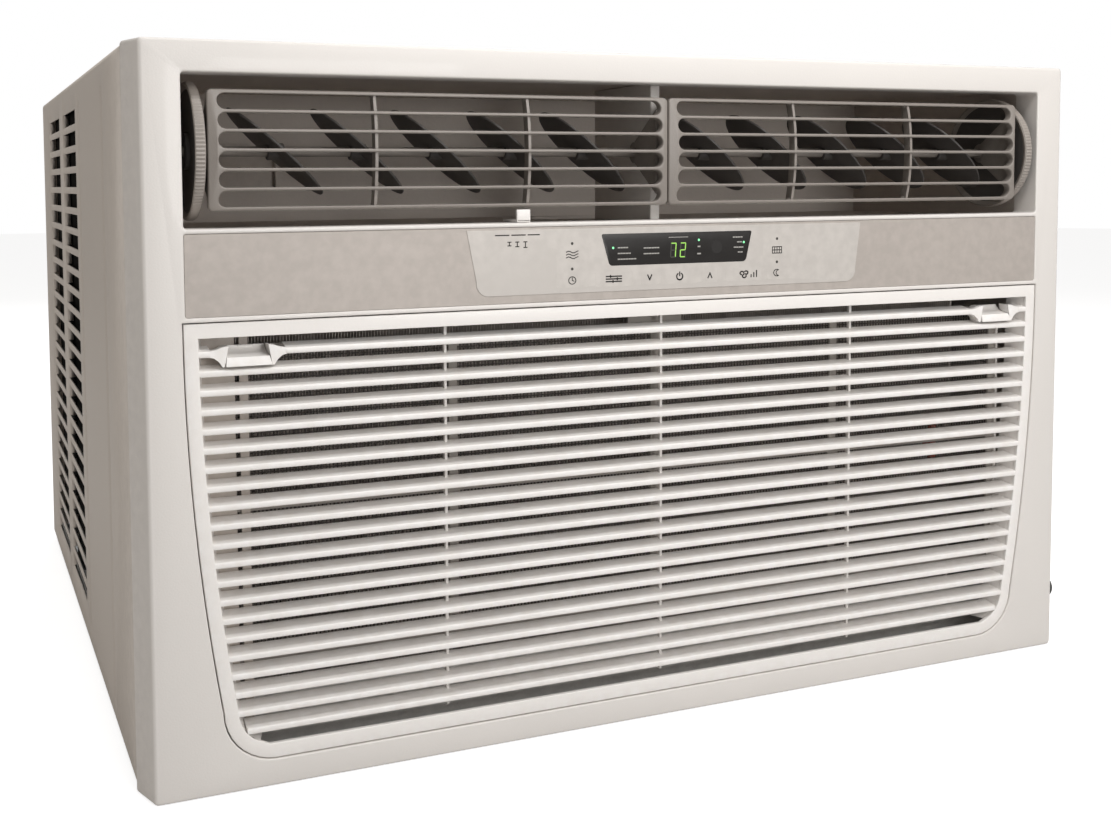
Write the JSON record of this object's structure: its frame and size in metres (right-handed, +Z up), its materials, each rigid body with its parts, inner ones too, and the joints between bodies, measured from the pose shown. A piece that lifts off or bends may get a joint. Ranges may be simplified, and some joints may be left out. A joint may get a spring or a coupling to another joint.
{
  "type": "window air conditioner",
  "caption": "Room air conditioner for a window opening, with tilting outlet louvres, steering vanes, tilt-out intake grille and keypad.",
  "frame": {"origin": "middle of the footprint, on the surface the unit stands on", "axes": "+X to the right seen from the room, +Y from the room towards outdoors, +Z up"},
  "size_m": [0.668, 0.615, 0.425],
  "materials": {
    "white_moulding": "satin moulded plastic, warm white",
    "grille_white": "satin moulded plastic, bright white",
    "strip_grey": "satin metallic grey film",
    "overlay_grey": "satin light grey membrane",
    "key_grey": "satin light grey membrane key",
    "display_black": "gloss smoked black window",
    "display_green": "lit green figures",
    "louvre_grey": "satin light grey plastic",
    "vane_dark": "matt charcoal plastic",
    "wheel_grey": "satin grey plastic with ribbed rim",
    "duct_grey": "matt foam-lined duct",
    "cabinet_paint": "satin powder-coated beige steel",
    "zinc_sheet": "galvanised sheet",
    "coil_fin": "bare aluminium fins",
    "filter_plastic": "satin plastic frame",
    "filter_net": "woven nylon mesh",
    "foam_white": "moulded bead foam",
    "board_green": "printed circuit board",
    "fan_black": "matt black plastic",
    "motor_black": "gloss black paint",
    "shaft_steel": "ground steel",
    "copper_tube": "drawn copper",
    "rubber_black": "matt rubber",
    "guard_wire": "black coated wire",
    "sensor_red": "dipped sensor bead"
  },
  "bodies": {
    "root": {"cabinet": "cabinet_paint", "base_pan": "zinc_sheet", "front_panel": "white_moulding", "control_strip": "strip_grey", "control_overlay": "overlay_grey", "display_window": "display_black", "digit_display": "display_green", "display_board": "board_green", "outlet_duct": "duct_grey", "outlet_post": "white_moulding", "control_box": "zinc_sheet", "control_board": "board_green", "run_capacitor": "zinc_sheet", "room_sensor": "sensor_red", "condensate_tray": "foam_white", "evaporator": "coil_fin", "blower_scroll": "foam_white", "bulkhead": "zinc_sheet", "fan_motor": "motor_black", "motor_bracket": "zinc_sheet", "fan_shroud": "zinc_sheet", "condenser": "coil_fin", "compressor": "motor_black", "compressor_feet": "rubber_black", "accumulator": "motor_black", "refrigerant_lines": "copper_tube", "cord_inlet": "rubber_black", "rear_guard": "guard_wire", "cabinet_screws": "shaft_steel"},
    "rotor": {"motor_shaft": "shaft_steel", "blower_wheel": "fan_black", "condenser_fan": "fan_black"},
    "grille": {"intake_grille": "grille_white"},
    "filter": {"filter_frame": "filter_plastic", "filter_mesh": "filter_net"},
    "latch_l": {"latch_left": "grille_white"},
    "latch_r": {"latch_right": "grille_white"},
    "louvre_l": {"louvre_left": "louvre_grey"},
    "louvre_r": {"louvre_right": "louvre_grey"},
    "steer_l": {"vane_shaft_left": "louvre_grey", "vanes_left": "vane_dark", "thumbwheel_left": "wheel_grey"},
    "steer_r": {"vane_shaft_right": "louvre_grey", "vanes_right": "vane_dark", "thumbwheel_right": "wheel_grey"},
    "vent_slider": {"vent_lever": "grille_white"},
    "vent_flap": {"vent_door": "duct_grey"},
    "button_mode": {"key_mode": "key_grey"},
    "button_down": {"key_down": "key_grey"},
    "button_power": {"key_power": "key_grey"},
    "button_up": {"key_up": "key_grey"},
    "button_fan_speed": {"key_fan_speed": "key_grey"},
    "button_clean_air": {"key_clean_air": "key_grey"},
    "button_timer": {"key_timer": "key_grey"},
    "button_filter_reset": {"key_filter_reset": "key_grey"},
    "button_sleep": {"key_sleep": "key_grey"}
  },
  "joints": [
    {"name": "fan_spin", "type": "hinge", "parent": "root", "child": "rotor", "pos_m": [-0.04, -0.0245, 0.19], "axis": [0, 1, 0], "continuous": true},
    {"name": "grille_tilt", "type": "hinge", "parent": "root", "child": "grille", "pos_m": [0, -0.2995, 0.046], "axis": [1, 0, 0], "range_deg": [0, 35]},
    {"name": "filter_lift", "type": "slide", "parent": "grille", "child": "filter", "axis": [0, 0, 1], "range_m": [0, 0.045]},
    {"name": "latch_left_slide", "type": "slide", "parent": "grille", "child": "latch_l", "axis": [0, 0, -1], "range_m": [0, 0.003], "stiffness_N_per_m": 300},
    {"name": "latch_right_slide", "type": "slide", "parent": "grille", "child": "latch_r", "axis": [0, 0, -1], "range_m": [0, 0.003], "stiffness_N_per_m": 300},
    {"name": "louvre_left_tilt", "type": "hinge", "parent": "root", "child": "louvre_l", "pos_m": [-0.15, -0.2675, 0.3645], "axis": [1, 0, 0], "range_deg": [-13, 13]},
    {"name": "louvre_right_tilt", "type": "hinge", "parent": "root", "child": "louvre_r", "pos_m": [0.15, -0.2675, 0.3645], "axis": [1, 0, 0], "range_deg": [-13, 13]},
    {"name": "steer_left_turn", "type": "hinge", "parent": "root", "child": "steer_l", "pos_m": [-0.15, -0.2675, 0.3645], "axis": [1, 0, 0], "continuous": true},
    {"name": "steer_right_turn", "type": "hinge", "parent": "root", "child": "steer_r", "pos_m": [0.15, -0.2675, 0.3645], "axis": [1, 0, 0], "continuous": true},
    {"name": "vent_slide", "type": "slide", "parent": "root", "child": "vent_slider", "axis": [1, 0, 0], "range_m": [-0.02, 0]},
    {"name": "vent_flap_turn", "type": "hinge", "parent": "root", "child": "vent_flap", "pos_m": [-0.232, -0.093, 0.38], "axis": [1, 0, 0], "range_deg": [-0.5, 46]},
    {"name": "press_mode", "type": "slide", "parent": "root", "child": "button_mode", "axis": [0, 1, 0], "range_m": [0, 0.0006], "stiffness_N_per_m": 800},
    {"name": "press_down", "type": "slide", "parent": "root", "child": "button_down", "axis": [0, 1, 0], "range_m": [0, 0.0006], "stiffness_N_per_m": 800},
    {"name": "press_power", "type": "slide", "parent": "root", "child": "button_power", "axis": [0, 1, 0], "range_m": [0, 0.0006], "stiffness_N_per_m": 800},
    {"name": "press_up", "type": "slide", "parent": "root", "child": "button_up", "axis": [0, 1, 0], "range_m": [0, 0.0006], "stiffness_N_per_m": 800},
    {"name": "press_fan_speed", "type": "slide", "parent": "root", "child": "button_fan_speed", "axis": [0, 1, 0], "range_m": [0, 0.0006], "stiffness_N_per_m": 800},
    {"name": "press_clean_air", "type": "slide", "parent": "root", "child": "button_clean_air", "axis": [0, 1, 0], "range_m": [0, 0.0006], "stiffness_N_per_m": 800},
    {"name": "press_timer", "type": "slide", "parent": "root", "child": "button_timer", "axis": [0, 1, 0], "range_m": [0, 0.0006], "stiffness_N_per_m": 800},
    {"name": "press_filter_reset", "type": "slide", "parent": "root", "child": "button_filter_reset", "axis": [0, 1, 0], "range_m": [0, 0.0006], "stiffness_N_per_m": 800},
    {"name": "press_sleep", "type": "slide", "parent": "root", "child": "button_sleep", "axis": [0, 1, 0], "range_m": [0, 0.0006], "stiffness_N_per_m": 800}
  ],
  "couplings": [
    {"joint": "vent_flap_turn", "follows": "vent_slide", "rad_per_m": -39.27}
  ]
}
